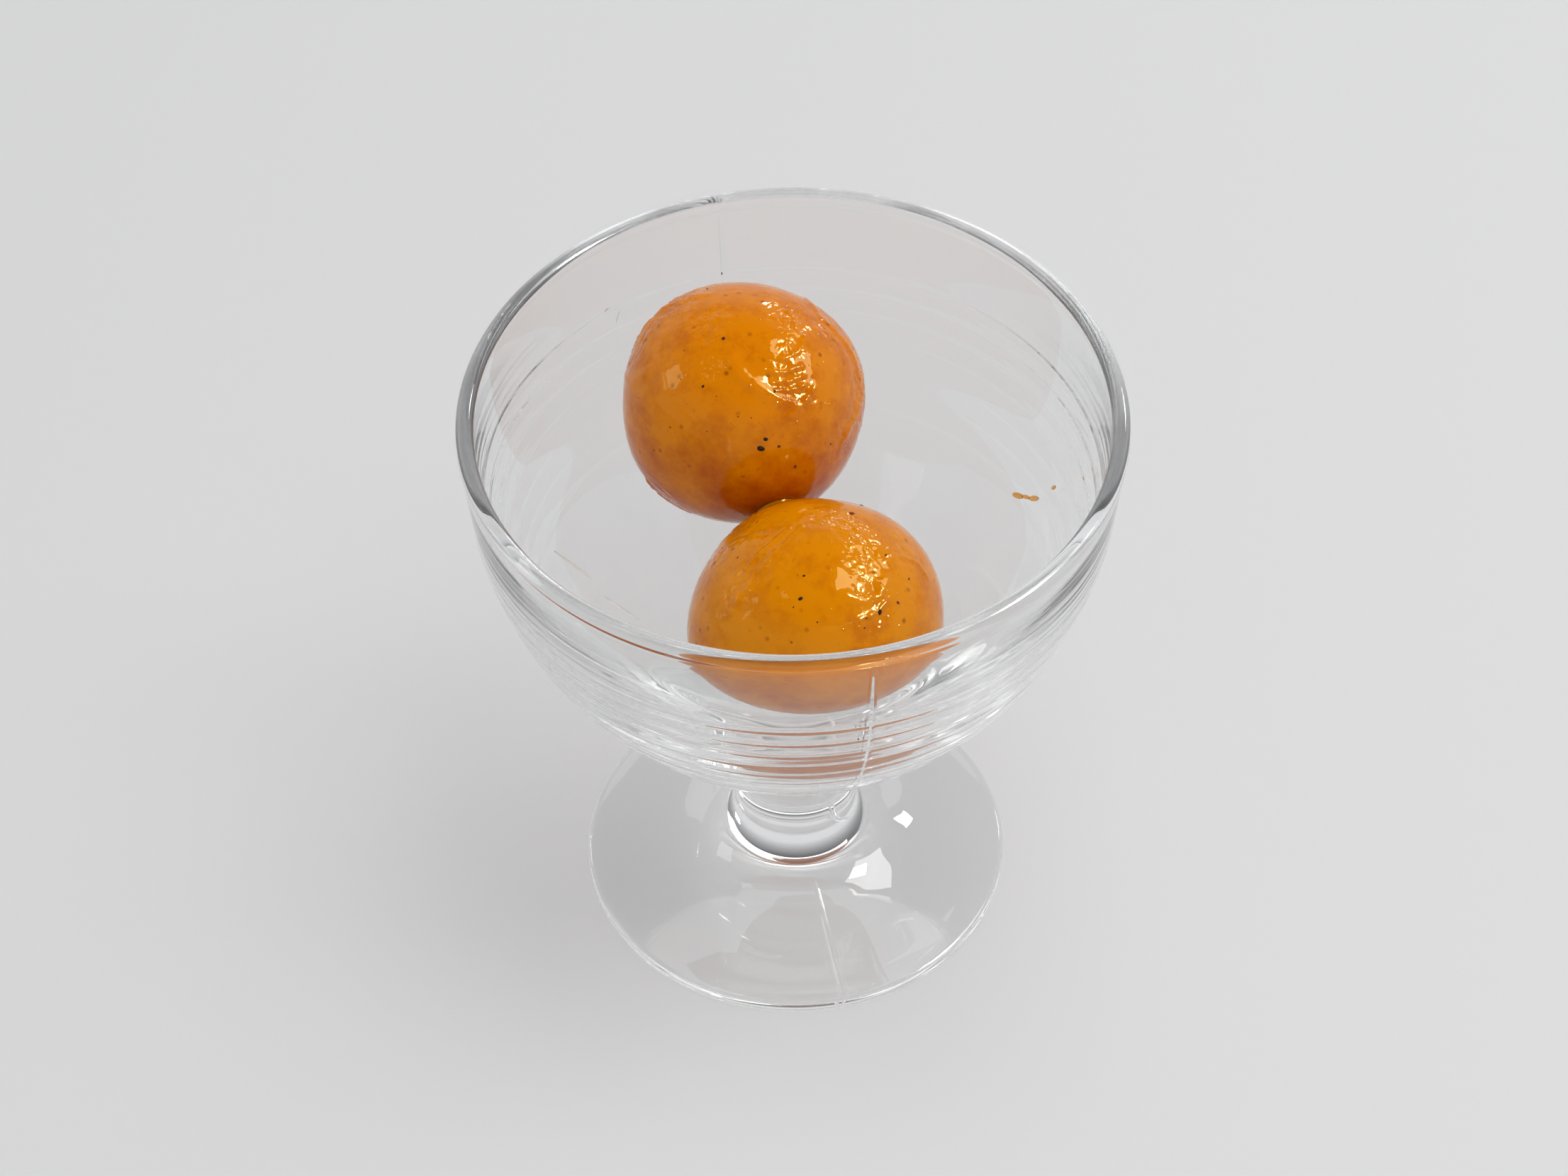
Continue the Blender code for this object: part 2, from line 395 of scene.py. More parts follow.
def wall_radius(height):
    """Radius of the bowl's outside at a height, without the rings."""
    drop = max(WALL_ARC_HEIGHT - height, 0)
    reach = math.sqrt(WALL_ARC_RADIUS ** 2 - drop ** 2)
    return reach - WALL_ARC_OFFSET + WALL_DRAFT * (height - WALL_DRAFT_HEIGHT)


def outer_wall():
    """Down the outer wall, over the rounded rings, to above the stem."""
    points = [(wall_radius(h * MM), h * MM) for h in (108, 106, 104, 102, 100, 98, 96.5, 95.2)]
    for number, rise in enumerate(RING_RISES):
        height = RING_TOP - number * RING_PITCH
        for step in (1, 0.66, 0.33, 0, -0.33, -0.66, -1):
            lift = step * RING_HALF_WIDTH
            swell = rise * MM * math.cos(step * math.pi / 2) ** 2
            points.append((wall_radius(height + lift) + swell, height + lift))
        if number < len(RING_RISES) - 1:
            for drop in (1.5, 2.0, 2.5):
                points.append((wall_radius(height - drop * MM), height - drop * MM))
    lowest = points[-1][1]
    for step in range(1, 16):
        height = lowest + (BOWL_JOIN_HEIGHT - lowest) * step / 16
        points.append((wall_radius(height), height))
    return points


# %% The inside of the lower wall, hollowed a little
def ease(value):
    """From 0 to 1, slow at both ends."""
    value = min(max(value, 0.0), 1.0)
    return value * value * (3 - 2 * value)


def hollow_out(point):
    """Widen the inside where the wall is thinner, between the set heights."""
    radius, height = point
    start, full, still, end = LOWER_HOLLOW_HEIGHTS
    rise = ease((height - start) / (full - start))
    fall = ease((end - height) / (end - still))
    return (radius + LOWER_HOLLOW * rise * fall, height)


# %% The whole section, from the floor of the bowl round to the underside
def dish_section():
    """Half the outline of the glass, as points of radius and height."""
    low = arc((0, BOWL_CENTRE.z), BOWL_RADIUS, -math.pi / 2, -BOWL_TURN, 40)
    pivot = (
        low[-1][0] - UPPER_ARC_RADIUS * math.cos(BOWL_TURN),
        low[-1][1] + UPPER_ARC_RADIUS * math.sin(BOWL_TURN),
    )
    end = -math.asin((pivot[1] - UPPER_ARC_TOP) / UPPER_ARC_RADIUS)
    inside = [hollow_out(point) for point in low + arc(pivot, UPPER_ARC_RADIUS, -BOWL_TURN, end, 14)[1:]]
    bead = arc((RIM_RADIUS - BEAD_RADIUS, DISH_HEIGHT - BEAD_RADIUS), BEAD_RADIUS, BEAD_START, 0, 18)
    under_bead = bend(inside[-1], (inside[-1][0] + 0.1 * MM, 108.6 * MM), bead[0], 4)[1:-1]
    join = (wall_radius(BOWL_JOIN_HEIGHT), BOWL_JOIN_HEIGHT)
    slope = (wall_radius(BOWL_JOIN_HEIGHT + MM) - join[0]) / MM
    under_corner = (STEM_TOP[0], BOWL_JOIN_HEIGHT - (join[0] - STEM_TOP[0]) / slope)
    under_bowl = bend(join, under_corner, STEM_TOP, 18)
    waist = bend(STEM_TOP, (STEM_WAIST[0] - 0.15 * MM, STEM_WAIST[1] + 2 * MM), STEM_BASE, 10)[1:-1]
    fillet = bend(STEM_BASE, FOOT_BEND, FOOT_CROWN, 12)
    edge_centre = FOOT_RADIUS - FOOT_EDGE_ROUND
    top = bend(FOOT_CROWN, FOOT_MIDDLE, (edge_centre, FOOT_EDGE_HEIGHT), 14)[1:-1]
    upper = arc((edge_centre, FOOT_EDGE_HEIGHT - FOOT_EDGE_ROUND), FOOT_EDGE_ROUND, math.pi / 2, 0, 6)
    lower = arc((edge_centre, FOOT_EDGE_ROUND), FOOT_EDGE_ROUND, 0, -math.pi / 2, 6)
    hollow_corner = (FOOT_HOLLOW_RADIUS + 2 * MM, FOOT_HOLLOW_DEPTH)
    hollow = [(FOOT_PAD_INNER, 0), (FOOT_PAD_INNER - 0.8 * MM, 0.12 * MM)]
    hollow += bend((FOOT_PAD_INNER - 1.8 * MM, 0.18 * MM), hollow_corner, (0, FOOT_HOLLOW_DEPTH), 10)
    return inside + under_bead + bead + outer_wall() + under_bowl + waist + fillet + top + upper + lower + hollow


section = dish_section()
print("section has", len(section), "points")

# %% [markdown]
# The mould opens in two halves and leaves two thin seams. The section therefore
# starts beside the front seam, and the spin takes small steps over each seam and
# wider ones between, so that the seams can later be raised without a visible facet.

# %% Extrude the section and spin it
SEAM_AZIMUTHS = (-77, 103)
SEAM_BAND = 1.6
SEAM_STEPS = 8
BETWEEN_STEPS = 166


def draw_section(points, azimuth):
    """One vertex, extruded from point to point in the plane of an azimuth."""
    turn = math.radians(azimuth)
    places = [Vector((r * math.cos(turn), r * math.sin(turn), z)) for r, z in points]
    rest_hands()
    bpy.ops.mesh.primitive_plane_add(size=MM, location=(0, 0, 0))
    piece = new_piece("footed_dish")
    bpy.ops.object.mode_set(mode="EDIT")
    bpy.ops.mesh.merge(type="CENTER")
    bpy.ops.transform.translate(value=places[0])
    for start, end in zip(places, places[1:]):
        bpy.ops.mesh.extrude_vertices_move(TRANSFORM_OT_translate={"value": end - start})
    return piece


dish = draw_section(section, SEAM_AZIMUTHS[0] - SEAM_BAND / 2)
bpy.ops.mesh.select_all(action="SELECT")
for steps, angle in ((SEAM_STEPS, SEAM_BAND), (BETWEEN_STEPS, 180 - SEAM_BAND)) * 2:
    bpy.ops.mesh.spin(steps=steps, angle=math.radians(angle), center=(0, 0, 0), axis=(0, 0, -1))
bpy.ops.mesh.select_all(action="SELECT")
bpy.ops.mesh.remove_doubles(threshold=0.002 * MM)
bpy.ops.mesh.normals_make_consistent(inside=False)
print("dish has", len(bmesh.from_edit_mesh(dish.data).faces), "faces")


# %% Raise the two mould seams
def on_seam(place, azimuth, half_width, low, high, inner):
    """Whether a point of the outside lies on a seam, between two heights."""
    radius = math.hypot(place.x, place.y)
    if not low < place.z < high or radius < inner:
        return False
    off = (math.degrees(math.atan2(place.y, place.x)) - azimuth + 180) % 360 - 180
    return abs(off) < half_width


def outside_bowl(place):
    """Whether a point belongs to the bowl's outer wall."""
    return math.hypot(place.x, place.y) > wall_radius(place.z) - 0.3 * MM


for azimuth in SEAM_AZIMUTHS:
    wall_line = pick(dish, lambda p: on_seam(p, azimuth, 0.25, 45 * MM, 107 * MM, 0) and outside_bowl(p))
    bpy.ops.transform.resize(value=(1.0032, 1.0032, 1), center_override=(0, 0, 0))
    foot_line = pick(dish, lambda p: on_seam(p, azimuth, 0.65, 2.9 * MM, 8 * MM, 13 * MM))
    bpy.ops.transform.translate(value=(0, 0, 0.3 * MM))
    print("seam at", azimuth, "degrees:", wall_line, "wall and", foot_line, "foot points raised")
rest_hands()
dish.data.polygons.foreach_set("use_smooth", [True] * len(dish.data.polygons))
dish.data.materials.append(clear_glass)
settle(dish)
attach(dish, "root")
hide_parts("dish")

# %% [markdown]
# ## Shaping a jamun
#
# A jamun is rolled by hand, fried, and swells in syrup. It is nearly a ball, with
# slow swells, a little flat where it leans on its neighbour and on the glass, and a
# thin skin that wrinkles where the inside has shrunk from it. It starts as a finely
# divided ball, divided once more where the skin will be wrinkled. Proportional moves
# give the swells, as a thumb would, and a last pass presses the flats, which keeps
# the pieces from cutting into each other.

# %% Jamun sizes and slow swells: azimuth, elevation, half width in degrees, rise in mm
BALL_DIVISIONS = 7
BALL_GAP = 0.3 * MM
WALL_GAP = 0.35 * MM
PRESS_ROUND = 0.5 * MM
FRONT_CENTRE = Vector((3.15, -11.45, 73.2)) * MM
FRONT_RADIUS = 21.2 * MM
FRONT_SWELLS = (
    (22, 20, 34, 0.9),
    (155, 22, 34, -0.8),
    (85, 35, 24, -0.4),
    (250, 30, 40, 0.3),
    (320, -30, 36, 0.3),
    (-36, 60, 13, -0.45),
    (-97, 57, 20, 0.35),
)
BACK_CENTRE = Vector((-8.26, 25.5, 88.3)) * MM
BACK_RADIUS = 20.3 * MM
BACK_SWELLS = (
    (141, 30, 32, 0.8),
    (214, -27, 32, 0.8),
    (18, 16, 28, 0.7),
    (300, -42, 30, 0.5),
    (70, 60, 34, -0.2),
    (-62, 52, 15, -0.55),
)

# %% Where the skin is loose: azimuth, elevation, half width in degrees, amount
FRONT_LOOSE = (
    (80, 74, 10, 1.0),
    (24, 69, 11, 1.0),
    (-20, 67, 10, 1.0),
    (-40, 55, 9, 0.9),
    (-48, 43, 9, 0.9),
    (-22, 40, 9, 0.7),
    (10, 45, 12, 0.6),
    (-160, 62, 13, 0.9),
    (165, 72, 12, 0.8),
    (-140, 74, 9, 0.8),
    (-146, 46, 9, 0.6),
    (150, 40, 26, 0.7),
    (-60, 30, 9, 0.6),
)
BACK_LOOSE = (
    (8, 67, 11, 1.0),
    (-30, 62, 9, 1.0),
    (-54, 53, 9, 1.0),
    (-58, 44, 8, 0.9),
    (-48, 36, 8, 0.8),
    (-168, 74, 13, 0.9),
    (145, 45, 22, 0.9),
    (165, 24, 16, 0.8),
    (15, 40, 16, 0.7),
    (-8, 12, 16, 0.8),
    (-34, 6, 12, 0.7),
    (-138, -30, 18, 0.6),
    (-116, 57, 8, 0.5),
)


# %% Roll a ball, finer where the skin is loose
def loose_weight(ways, spots):
    """How loose the skin is in each direction, from 0 to 1."""
    weight = np.zeros(len(ways))
    for azimuth, elevation, half_width, amount in spots:
        apart = np.degrees(np.arccos(np.clip(ways @ np.array(toward(azimuth, elevation)), -1, 1)))
        weight = np.maximum(weight, amount * np.exp(-((apart / half_width) ** 4)))
    return weight


def skin_ways(ball, centre):
    """Each vertex as a direction and a distance from the ball's centre."""
    places = np.empty(len(ball.data.vertices) * 3)
    ball.data.vertices.foreach_get("co", places)
    offsets = places.reshape(-1, 3) - np.array(centre)
    reach = np.linalg.norm(offsets, axis=1)
    return offsets / reach[:, None], reach


def place_skin(ball, centre, ways, reach):
    """Put the vertices back along their directions."""
    ball.data.vertices.foreach_set("co", (np.array(centre) + ways * reach[:, None]).ravel())
    ball.data.update()


def roll_ball(name, centre, radius, loose):
    """A finely divided ball at its place, with smaller faces on the loose skin."""
    rest_hands()
    bpy.ops.mesh.primitive_ico_sphere_add(subdivisions=BALL_DIVISIONS, radius=radius, location=centre)
    ball = new_piece(name)
    settle(ball)
    open_piece(ball)
    bpy.ops.mesh.select_mode(type="FACE")
    shape = bmesh.from_edit_mesh(ball.data)
    middles = np.array([face.calc_center_median() for face in shape.faces]) - np.array(centre)
    weight = loose_weight(middles / np.linalg.norm(middles, axis=1)[:, None], loose)
    for face, amount in zip(shape.faces, weight):
        face.select_set(bool(amount > 0.2))
    bmesh.update_edit_mesh(ball.data)
    bpy.ops.mesh.subdivide(number_cuts=1)
    rest_hands()
    ways, reach = skin_ways(ball, centre)
    place_skin(ball, centre, ways, np.full(len(reach), radius))
    return ball


def push_skin(ball, centre, azimuth, elevation, half_width, rise):
    """Move the skin round one point in or out, fading smoothly to the sides."""
    way = toward(azimuth, elevation)
    shape = bmesh.from_edit_mesh(ball.data)
    top = max(shape.verts, key=lambda vert: way.dot((vert.co - centre).normalized()))
    reach = (top.co - centre).length
    bpy.ops.mesh.select_all(action="DESELECT")
    top.select_set(True)
    bmesh.update_edit_mesh(ball.data)
    bpy.ops.transform.translate(
        value=way * rise * MM,
        use_proportional_edit=True,
        proportional_edit_falloff="SMOOTH",
        proportional_size=1.67 * math.radians(half_width) * reach,
    )


# %% Press the flats against the neighbour and the bowl
def soft_minimum(first, second):
    """The smaller of two lengths, with the change between them rounded off."""
    blend = np.clip(PRESS_ROUND - np.abs(first - second), 0, None) / PRESS_ROUND
    return np.minimum(first, second) - blend**2 * PRESS_ROUND / 4


def press_ball(ball, centre, radius, other_centre, other_radius):
    """Hold the skin inside its half of the contact plane and inside the bowl."""
    ways, reach = skin_ways(ball, centre)
    between = np.array(other_centre - centre)
    apart = np.linalg.norm(between)
    share = apart * radius / (radius + other_radius) - BALL_GAP / 2
    facing = ways @ (between / apart)
    plane = np.where(facing > share, share / np.maximum(facing, 1e-6), 1.0)
    reach = soft_minimum(reach, plane)
    offset = np.array(centre - BOWL_CENTRE)
    along = ways @ offset
    clear = BOWL_RADIUS - WALL_GAP
    reach = soft_minimum(reach, np.sqrt(along**2 - offset @ offset + clear**2) - along)
    place_skin(ball, centre, ways, reach)


def make_ball(name, own, other, swells, loose):
    """Roll, swell and press one jamun."""
    ball = roll_ball(name, *own, loose)
    open_piece(ball)
    for swell in swells:
        push_skin(ball, own[0], *swell)
    rest_hands()
    press_ball(ball, *own, *other)
    ball.data.polygons.foreach_set("use_smooth", [True] * len(ball.data.polygons))
    print(name, "has", len(ball.data.polygons), "faces, size", [round(v / MM, 1) for v in ball.dimensions])
    return ball


front_own = (FRONT_CENTRE, FRONT_RADIUS)
back_own = (BACK_CENTRE, BACK_RADIUS)
front_jamun = make_ball("front_jamun", front_own, back_own, FRONT_SWELLS, FRONT_LOOSE)
back_jamun = make_ball("back_jamun", back_own, front_own, BACK_SWELLS, BACK_LOOSE)

# %% [markdown]
# ## Creases and wrinkles
#
# Where the skin is loose it carries fine wrinkles, and the syrup on them breaks a
# window's reflection into shards. A few longer creases run round the shallow dents.
# Elsewhere the skin is stretched smooth. Creases are lines on the ball, raised by a
# Displace modifier through a vertex group. The wrinkles are two more Displace
# modifiers with a ridged noise, so they are in the mesh itself.

# %% Creases: width in mm, amount, then points of azimuth and elevation
FRONT_CREASES = (
    (0.9, 1.0, ((-62, 58), (-50, 52), (-38, 50), (-24, 52))),
    (0.5, 0.8, ((-60, 46), (-48, 45), (-38, 46))),
    (0.5, 0.7, ((-163, 56.6), (-170, 66), (149.6, 77.7))),
    (0.5, 0.6, ((-150, 62), (-158, 72), (130, 82))),
    (1.2, 0.8, ((-146, 40), (-145.5, 48.3), (-147, 56))),
    (0.5, 0.5, ((-10, 56), (2, 48), (4, 38), (0, 30))),
    (0.5, 0.6, ((-70, 36), (-58, 33), (-46, 32))),
)
BACK_CREASES = (
    (1.1, 1.2, ((-101, 65), (-90, 57), (-77, 50.5), (-66, 43), (-58, 38.5))),
    (0.6, 1.1, ((-62, 34.2), (-50, 37), (-38, 40.5))),
    (0.6, 0.8, ((20, 66), (2, 63), (-12, 64))),
    (0.5, 0.8, ((-10, 58), (-30, 57.5), (-48, 60))),
    (0.45, 0.8, ((-38, 52), (-52, 54), (-64, 57))),
    (0.45, 0.8, ((-42, 48), (-54, 49.5), (-66, 52))),
    (0.45, 0.8, ((-45, 44), (-56, 45.5), (-66, 48))),
    (0.7, 0.8, ((52, 34), (46, 40), (38, 44), (30, 45))),
    (0.8, 0.9, ((19.7, 45.8), (6, 28), (-8.1, 10.7), (-34.3, 6.7))),
    (0.8, 0.8, ((158.5, 26.3), (146, 44), (127.4, 63.7))),
    (0.8, 0.6, ((170, 10), (-170, 22), (-164, 36))),
    (0.7, 0.6, ((-146, -22), (-138, -31), (-124, -36))),
)


# %% Raise the creases
def line_weight(ways, radius, lines):
    """How near each direction is to a crease, from 0 to 1."""
    weight = np.zeros(len(ways))
    for width, amount, points in lines:
        stops = [np.array(toward(*point)) for point in points]
        apart = np.full(len(ways), 9.0)
        for start, end in zip(stops, stops[1:]):
            for step in np.linspace(0, 1, 24):
                spot = start + (end - start) * step
                apart = np.minimum(apart, np.arccos(np.clip(ways @ (spot / np.linalg.norm(spot)), -1, 1)))
        weight = np.maximum(weight, amount * np.exp(-((apart * radius / (width * MM)) ** 2)))
    return weight


def weigh(ball, name, weight):
    """Keep one weight for each vertex in a vertex group."""
    group = ball.vertex_groups.new(name=name)
    for index in np.nonzero(weight > 0.01)[0]:
        group.add([int(index)], float(min(weight[index], 1.0)), "REPLACE")
    return group


def displace(ball, name, weight, strength, texture=None):
    """Push the skin along its normals through a vertex group."""
    modifier = ball.modifiers.new(name, "DISPLACE")
    modifier.direction = "NORMAL"
    modifier.strength = strength
    modifier.mid_level = 0.0
    if texture:
        modifier.texture = texture
        modifier.texture_coords = "LOCAL"
        modifier.mid_level = 0.5
    modifier.vertex_group = weigh(ball, name, weight).name
    apply_modifiers(ball)
    ball.vertex_groups.clear()


def skin_noise(name, scale):
    """A noise with creased ridges."""
    texture = bpy.data.textures.new(name, "CLOUDS")
    texture.noise_scale = scale
    texture.noise_depth = 2
    texture.noise_type = "HARD_NOISE"
    return texture


SLIGHT_LOOSENESS = 0.14
CREASE_RISE = 0.3 * MM
FOLD_SIZE = 3.2 * MM
FOLD_RISE = 0.55 * MM
WRINKLE_SIZE = 1.5 * MM
WRINKLE_RISE = 0.2 * MM
folds = skin_noise("folds", FOLD_SIZE)
wrinkles = skin_noise("wrinkles", WRINKLE_SIZE)
for ball, own, other, loose, creases in (
    (front_jamun, front_own, back_own, FRONT_LOOSE, FRONT_CREASES),
    (back_jamun, back_own, front_own, BACK_LOOSE, BACK_CREASES),
):
    ways, reach = skin_ways(ball, own[0])
    looseness = np.maximum(loose_weight(ways, loose), SLIGHT_LOOSENESS)
    displace(ball, "creases", line_weight(ways, own[1], creases), CREASE_RISE)
    displace(ball, "folds", looseness, FOLD_RISE, folds)
    displace(ball, "wrinkles", looseness, WRINKLE_RISE, wrinkles)
    press_ball(ball, *own, *other)
    mark = ball.data.attributes.new("looseness", "FLOAT", "POINT")
    mark.data.foreach_set("value", looseness)
    print(ball.name, "is loose over", round(100 * float((looseness > 0.3).mean())), "% of its points")

# %% [markdown]
# ## Syrup-soaked dough
#
# The skin is fried milk dough, a deep orange brown that goes golden where it is
# thin, and the sugar syrup on it is a clear coat. Light sinks a few millimetres
# into it, which softens its shadows, so the dough takes subsurface scattering and
# the syrup is the shader's gloss. The colour wanders between two ambers by a noise,
# and painted light makes it more golden towards the top, with painted shade deeper
# below. Tiny crumbs under the syrup catch the light, and the bump adds them.

# %% Shared colour of fried dough, with painted light on top
def make_dough_tone_and_top_light_group():
    """Node group: two ambers mixed by a noise and by painted light from height, with small flecks."""
    group = bpy.data.node_groups.new("fried_dough_tone_and_painted_top_light", "ShaderNodeTree")
    face = group.interface
    face.new_socket("Vector", in_out="INPUT", socket_type="NodeSocketVector")
    face.new_socket("Deep", in_out="INPUT", socket_type="NodeSocketColor")
    face.new_socket("Golden", in_out="INPUT", socket_type="NodeSocketColor")
    face.new_socket("Fleck", in_out="INPUT", socket_type="NodeSocketColor")
    face.new_socket("Color", in_out="OUTPUT", socket_type="NodeSocketColor")
    nodes, links = group.nodes, group.links
    given = nodes.new("NodeGroupInput")
    result = nodes.new("NodeGroupOutput")
    cloud = nodes.new("ShaderNodeTexNoise")
    set_inputs(cloud, Scale=120, Detail=8, Roughness=0.7)
    links.new(given.outputs["Vector"], cloud.inputs["Vector"])
    parts = nodes.new("ShaderNodeSeparateXYZ")
    links.new(given.outputs["Vector"], parts.inputs["Vector"])
    # Painted light: higher on the ball is pushed towards golden, lower towards deep amber as painted shade.
    rise = nodes.new("ShaderNodeMapRange")
    set_inputs(rise, From_Min=-0.018, From_Max=0.018, To_Min=-0.45, To_Max=0.45)
    links.new(parts.outputs["Z"], rise.inputs["Value"])
    spread = nodes.new("ShaderNodeMapRange")
    set_inputs(spread, From_Min=0.36, From_Max=0.64, To_Min=0.0, To_Max=1.0)
    links.new(cloud.outputs["Fac"], spread.inputs["Value"])
    total = nodes.new("ShaderNodeMath")
    total.operation = "ADD"
    total.use_clamp = True
    links.new(spread.outputs["Result"], total.inputs[0])
    links.new(rise.outputs["Result"], total.inputs[1])
    amber = nodes.new("ShaderNodeMix")
    amber.data_type = "RGBA"
    links.new(total.outputs["Value"], amber.inputs[0])
    links.new(given.outputs["Deep"], amber.inputs[6])
    links.new(given.outputs["Golden"], amber.inputs[7])
    fleck = nodes.new("ShaderNodeTexVoronoi")
    set_inputs(fleck, Scale=420)
    links.new(given.outputs["Vector"], fleck.inputs["Vector"])
    fleck_mask = nodes.new("ShaderNodeMapRange")
    set_inputs(fleck_mask, From_Min=0.06, From_Max=0.24, To_Min=1, To_Max=0)
    links.new(fleck.outputs["Distance"], fleck_mask.inputs["Value"])
    sparse = nodes.new("ShaderNodeTexNoise")
    set_inputs(sparse, Scale=240, Detail=1)
    links.new(given.outputs["Vector"], sparse.inputs["Vector"])
    sparse_mask = nodes.new("ShaderNodeMapRange")
    set_inputs(sparse_mask, From_Min=0.50, From_Max=0.64, To_Min=0, To_Max=0.75)
    links.new(sparse.outputs["Fac"], sparse_mask.inputs["Value"])
    both = nodes.new("ShaderNodeMath")
    both.operation = "MULTIPLY"
    links.new(fleck_mask.outputs["Result"], both.inputs[0])
    links.new(sparse_mask.outputs["Result"], both.inputs[1])
    tint = nodes.new("ShaderNodeMix")
    tint.data_type = "RGBA"
    links.new(both.outputs["Value"], tint.inputs[0])
    links.new(amber.outputs[2], tint.inputs[6])
    links.new(given.outputs["Fleck"], tint.inputs[7])
    links.new(tint.outputs[2], result.inputs["Color"])
    return group


dough_tone_and_top_light = make_dough_tone_and_top_light_group()


# %% Relief of the skin: fine wrinkles on loose skin, and crumbs
def add_skin_relief(nodes, links, vector):
    """Bump node for the syrup-wet skin."""
    fine = nodes.new("ShaderNodeTexNoise")
    fine.noise_type = "RIDGED_MULTIFRACTAL"
    set_inputs(fine, Scale=900, Detail=2, Roughness=0.5)
    links.new(vector, fine.inputs["Vector"])
    loose = nodes.new("ShaderNodeAttribute")
    loose.attribute_name = "looseness"
    wrinkled = nodes.new("ShaderNodeMath")
    wrinkled.operation = "MULTIPLY"
    links.new(fine.outputs["Fac"], wrinkled.inputs[0])
    links.new(loose.outputs["Fac"], wrinkled.inputs[1])
    crumb = nodes.new("ShaderNodeTexVoronoi")
    set_inputs(crumb, Scale=650)
    links.new(vector, crumb.inputs["Vector"])
    crumb_height = nodes.new("ShaderNodeMapRange")
    set_inputs(crumb_height, From_Min=0.0, From_Max=0.16, To_Min=4.0, To_Max=0.0)
    links.new(crumb.outputs["Distance"], crumb_height.inputs["Value"])
    chance = nodes.new("ShaderNodeSeparateColor")
    links.new(crumb.outputs["Color"], chance.inputs["Color"])
    chosen = nodes.new("ShaderNodeMath")
    chosen.operation = "GREATER_THAN"
    chosen.inputs[1].default_value = 0.72
    links.new(chance.outputs["Red"], chosen.inputs[0])
    crumbs = nodes.new("ShaderNodeMath")
    crumbs.operation = "MULTIPLY"
    links.new(crumb_height.outputs["Result"], crumbs.inputs[0])
    links.new(chosen.outputs["Value"], crumbs.inputs[1])
    height = nodes.new("ShaderNodeMath")
    height.operation = "ADD"
    links.new(wrinkled.outputs["Value"], height.inputs[0])
    links.new(crumbs.outputs["Value"], height.inputs[1])
    bump = nodes.new("ShaderNodeBump")
    set_inputs(bump, Strength=1.0, Distance=0.000025)
    links.new(height.outputs["Value"], bump.inputs["Height"])
    return bump


# %% The dough's finish
def make_dough(name, deep, golden, centre):
    """The amber dough with its syrup coat."""
    finish, nodes, links, shader = new_finish(name)
    set_inputs(shader, Roughness=0.03, IOR=1.42, Specular_Tint=(1.0, 0.93, 0.38, 1))
    set_inputs(shader, Subsurface_Weight=0.25, Subsurface_Scale=0.003, Subsurface_Radius=(1.0, 0.3, 0.02))
    where = nodes.new("ShaderNodeTexCoord")
    from_centre = nodes.new("ShaderNodeMapping")
    from_centre.inputs["Location"].default_value = -centre
    links.new(where.outputs["Object"], from_centre.inputs["Vector"])
    # Dough colour, with painted light that makes the top of each ball more golden.
    colour = nodes.new("ShaderNodeGroup")
    colour.node_tree = dough_tone_and_top_light
    set_inputs(colour, Deep=(*deep, 1), Golden=(*golden, 1), Fleck=(0.20, 0.03, 0.0, 1))
    links.new(from_centre.outputs["Vector"], colour.inputs["Vector"])
    links.new(colour.outputs["Color"], shader.inputs["Base Color"])
    bump = add_skin_relief(nodes, links, from_centre.outputs["Vector"])
    links.new(bump.outputs["Normal"], shader.inputs["Normal"])
    return finish


front_dough = make_dough("syrup_soaked_dough", (0.48, 0.108, 0.0), (0.65, 0.212, 0.0), FRONT_CENTRE)
back_dough = make_dough("syrup_soaked_dough_back", (0.43, 0.075, 0.0), (0.65, 0.192, 0.0), BACK_CENTRE)
for piece, finish, node in (
    (front_jamun, front_dough, "jamun_front"),
    (back_jamun, back_dough, "jamun_back"),
):
    piece.data.materials.append(finish)
    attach(piece, "root")
    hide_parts(node)

# %% [markdown]
# ## Specks in the skin
#
# Cardamom seeds and darker crumbs lie in the skin as small black and russet specks.
# Each is a little broken grain: one grain is shaped from a coarse ball, squashed and
# roughened, and the others are copies of it, turned and sized, each with a mesh of
# its own. The few that are easy to see have set places, and a seeded draw scatters
# the fine ones. They are sunk by half, so that only the top of a grain stands out.

# %% Finishes for the grains
def make_grain_finish(name, dark, light):
    """Dry seed colour that wanders a little, with a rough, faintly glossy surface."""
    finish, nodes, links, shader = new_finish(name)
    set_inputs(shader, Roughness=0.6, Specular_IOR_Level=0.15)
    where = nodes.new("ShaderNodeTexCoord")
    cloud = nodes.new("ShaderNodeTexNoise")
    set_inputs(cloud, Scale=1500, Detail=2)
    links.new(where.outputs["Object"], cloud.inputs["Vector"])
    mix = nodes.new("ShaderNodeMix")
    mix.data_type = "RGBA"
    mix.inputs[6].default_value = (*dark, 1)
    mix.inputs[7].default_value = (*light, 1)
    links.new(cloud.outputs["Fac"], mix.inputs[0])
    links.new(mix.outputs[2], shader.inputs["Base Color"])
    bump = nodes.new("ShaderNodeBump")
    set_inputs(bump, Strength=0.6, Distance=0.00004)
    links.new(cloud.outputs["Fac"], bump.inputs["Height"])
    links.new(bump.outputs["Normal"], shader.inputs["Normal"])
    return finish


black_seed = make_grain_finish("black_seed", (0.006, 0.003, 0.001), (0.03, 0.009, 0.002))
russet_crumb = make_grain_finish("russet_crumb", (0.09, 0.010, 0.0), (0.20, 0.035, 0.001))

